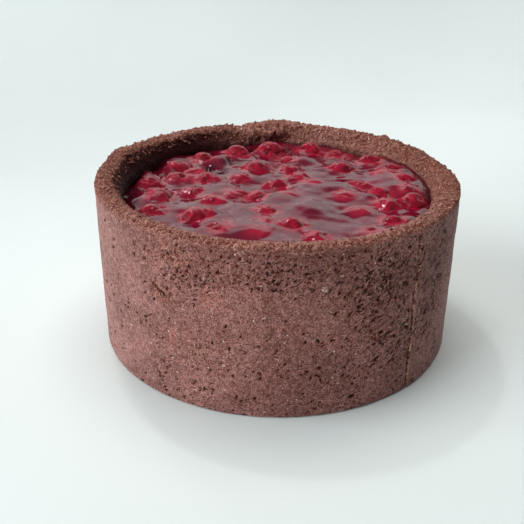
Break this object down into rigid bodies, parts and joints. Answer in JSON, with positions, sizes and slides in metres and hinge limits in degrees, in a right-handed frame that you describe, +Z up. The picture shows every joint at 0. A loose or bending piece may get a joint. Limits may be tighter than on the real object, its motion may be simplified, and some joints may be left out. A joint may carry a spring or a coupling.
{
  "type": "cherry cheesecake",
  "caption": "Tall round cheesecake in a pressed chocolate-crumb case, with an uneven crumbly rim round a recessed top of cherries set in glossy red jelly.",
  "frame": {"origin": "the middle of the flat underside, on the surface that the cake stands on", "axes": "+Z up through the middle of the cake; the upright joint in the crumb wall faces between +X and -Y, and -Y faces the viewer"},
  "size_m": [0.18, 0.18, 0.0867],
  "materials": {
    "chocolate_crumb": "matte, sandy, pressed crumbs",
    "red_jelly": "wet gloss",
    "cherry_skin": "wet gloss"
  },
  "bodies": {
    "root": {"crust": "chocolate_crumb", "jelly": "red_jelly", "cherry_01": "cherry_skin", "cherry_02": "cherry_skin", "cherry_03": "cherry_skin", "cherry_04": "cherry_skin", "cherry_05": "cherry_skin", "cherry_06": "cherry_skin", "cherry_07": "cherry_skin", "cherry_08": "cherry_skin", "cherry_09": "cherry_skin", "cherry_10": "cherry_skin", "cherry_11": "cherry_skin", "cherry_12": "cherry_skin", "cherry_13": "cherry_skin", "cherry_14": "cherry_skin", "cherry_15": "cherry_skin", "cherry_16": "cherry_skin", "cherry_17": "cherry_skin", "cherry_18": "cherry_skin", "cherry_19": "cherry_skin", "cherry_20": "cherry_skin", "cherry_21": "cherry_skin", "cherry_22": "cherry_skin", "cherry_23": "cherry_skin", "cherry_24": "cherry_skin", "cherry_25": "cherry_skin", "cherry_26": "cherry_skin", "cherry_27": "cherry_skin", "cherry_28": "cherry_skin", "cherry_29": "cherry_skin", "cherry_30": "cherry_skin", "cherry_31": "cherry_skin", "cherry_32": "cherry_skin", "cherry_33": "cherry_skin", "cherry_34": "cherry_skin", "cherry_35": "cherry_skin", "cherry_36": "cherry_skin", "cherry_37": "cherry_skin", "cherry_38": "cherry_skin"}
  },
  "joints": []
}
